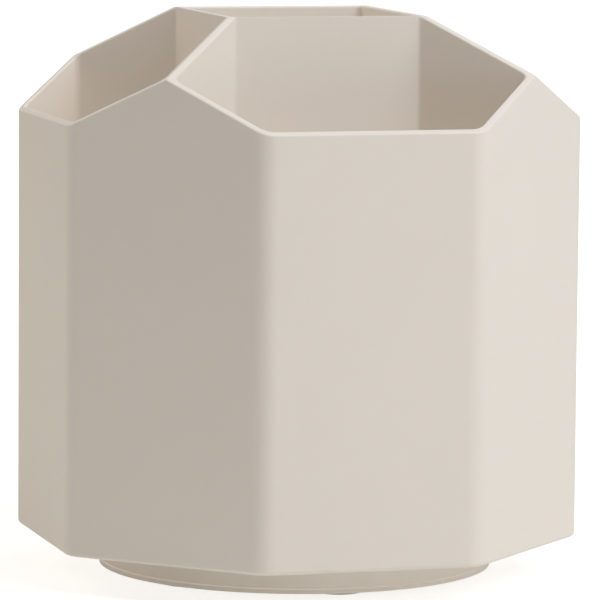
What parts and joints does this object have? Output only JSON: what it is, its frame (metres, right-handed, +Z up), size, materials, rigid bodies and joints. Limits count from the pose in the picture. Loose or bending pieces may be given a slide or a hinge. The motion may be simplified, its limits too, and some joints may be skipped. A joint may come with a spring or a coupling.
{
  "type": "rotating desk organizer",
  "caption": "Octagonal pen holder with sloping-rimmed outer cells around a square centre cell, on a low round base that turns on a ball race.",
  "frame": {"origin": "on the spin axis, at the underside of the rubber feet", "axes": "+Z up along the spin axis; one outer cell's flat outer face looks along -Y"},
  "size_m": [0.118, 0.118, 0.1256],
  "materials": {
    "body_plastic": "ivory moulded ABS, fine matte texture",
    "base_plastic": "ivory moulded ABS, fine matte texture",
    "turntable_plastic": "ivory moulded ABS, plain tool finish",
    "cage_nylon": "natural white nylon, moulded",
    "bearing_plastic": "white acetal, smooth",
    "ball_steel": "polished bearing steel",
    "washer_steel": "zinc-plated steel, blanked",
    "screw_steel": "zinc-plated steel",
    "foot_rubber": "dark grey silicone rubber, matte"
  },
  "bodies": {
    "base": {"base_disc": "base_plastic", "hub_bush": "bearing_plastic", "slip_washer": "bearing_plastic", "foot_1": "foot_rubber", "foot_2": "foot_rubber", "foot_3": "foot_rubber", "foot_4": "foot_rubber", "foot_5": "foot_rubber", "foot_6": "foot_rubber"},
    "rotor": {"cup_body": "body_plastic", "turntable_plate": "turntable_plastic", "plate_screws": "screw_steel", "pivot_washer": "washer_steel", "pivot_screw": "screw_steel"},
    "rolling_set": {"ball_cage": "cage_nylon", "ball_01": "ball_steel", "ball_02": "ball_steel", "ball_03": "ball_steel", "ball_04": "ball_steel", "ball_05": "ball_steel", "ball_06": "ball_steel", "ball_07": "ball_steel", "ball_08": "ball_steel", "ball_09": "ball_steel", "ball_10": "ball_steel", "ball_11": "ball_steel", "ball_12": "ball_steel"}
  },
  "joints": [
    {"name": "spin", "type": "hinge", "parent": "base", "child": "rotor", "pos_m": [0, 0, 0.0082], "axis": [0, 0, 1], "continuous": true},
    {"name": "cage_orbit", "type": "hinge", "parent": "base", "child": "rolling_set", "pos_m": [0, 0, 0.0082], "axis": [0, 0, 1], "continuous": true}
  ],
  "couplings": [
    {"joint": "cage_orbit", "follows": "spin", "ratio": 0.5}
  ]
}
